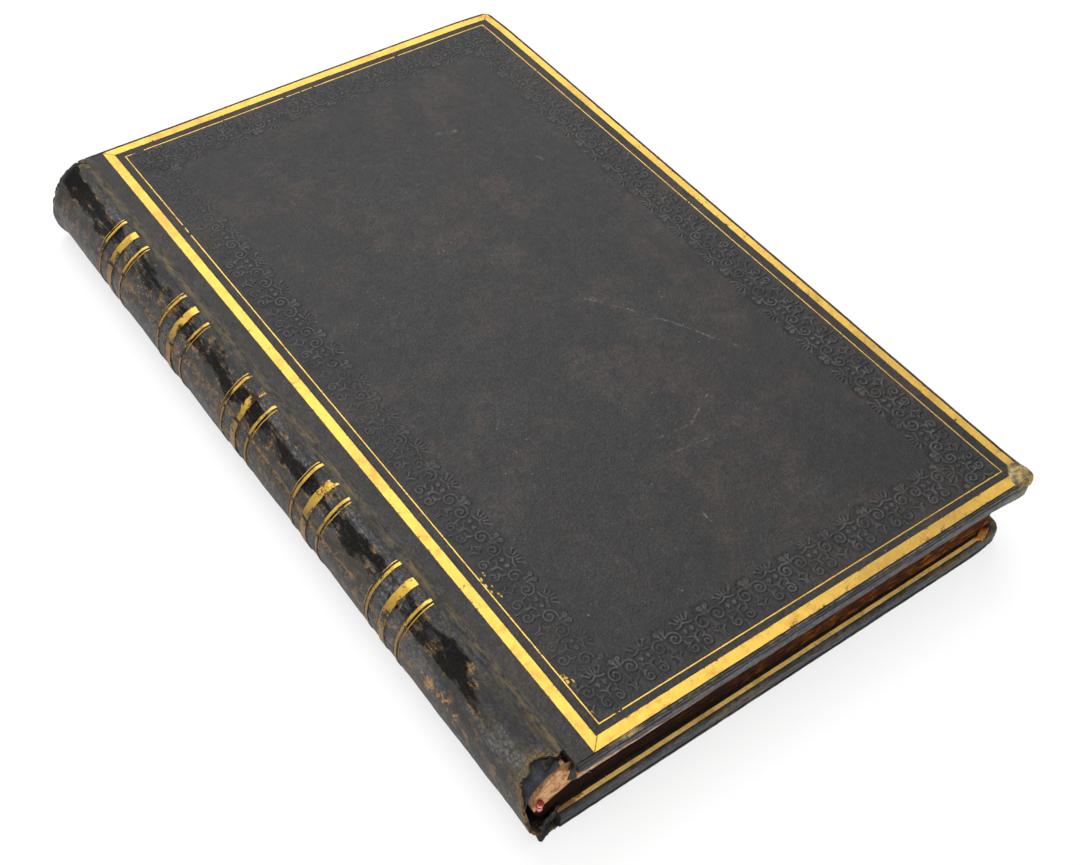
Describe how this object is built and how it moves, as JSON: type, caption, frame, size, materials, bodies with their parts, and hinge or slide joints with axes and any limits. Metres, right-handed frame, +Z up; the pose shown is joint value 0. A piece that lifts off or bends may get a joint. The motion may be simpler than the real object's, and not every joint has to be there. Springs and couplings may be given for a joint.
{
  "type": "antique leather book",
  "caption": "Tall antique book in dark full leather, with gilt frames, a blind scroll border, a round worn spine and covers that open.",
  "frame": {"origin": "centre of the back cover's outer face, on the surface that the book lies on", "axes": "+X from the spine to the fore-edge, +Y from the tail to the head, +Z up from the back cover to the front cover"},
  "size_m": [0.2083, 0.323, 0.0315],
  "materials": {
    "leather": "satin",
    "board": "matte",
    "endpaper": "matte",
    "gilt": "satin",
    "pages": "matte",
    "liner": "matte",
    "endband": "matte",
    "cord": "matte"
  },
  "bodies": {
    "back_cover": {"back_board": "board", "back_cover_leather": "leather", "back_pastedown": "endpaper", "back_gilt_frame": "gilt", "back_gilt_line": "gilt", "back_inner_gilt": "gilt"},
    "text_block": {"text_block": "pages", "spine_leather": "leather", "spine_liner": "liner", "spine_fillets": "gilt", "spine_lines": "gilt", "head_endband": "endband", "tail_endband": "endband", "sewing_cords": "cord"},
    "front_cover": {"front_board": "board", "front_cover_leather": "leather", "front_pastedown": "endpaper", "front_gilt_frame": "gilt", "front_gilt_line": "gilt", "front_inner_gilt": "gilt"}
  },
  "joints": [
    {"name": "back_joint", "type": "hinge", "parent": "back_cover", "child": "text_block", "pos_m": [-0.09585, 0, 0], "axis": [0, -1, 0], "range_deg": [0, 100]},
    {"name": "front_joint", "type": "hinge", "parent": "text_block", "child": "front_cover", "pos_m": [-0.09135, 0, 0.0315], "axis": [0, -1, 0], "range_deg": [0, 160]}
  ]
}
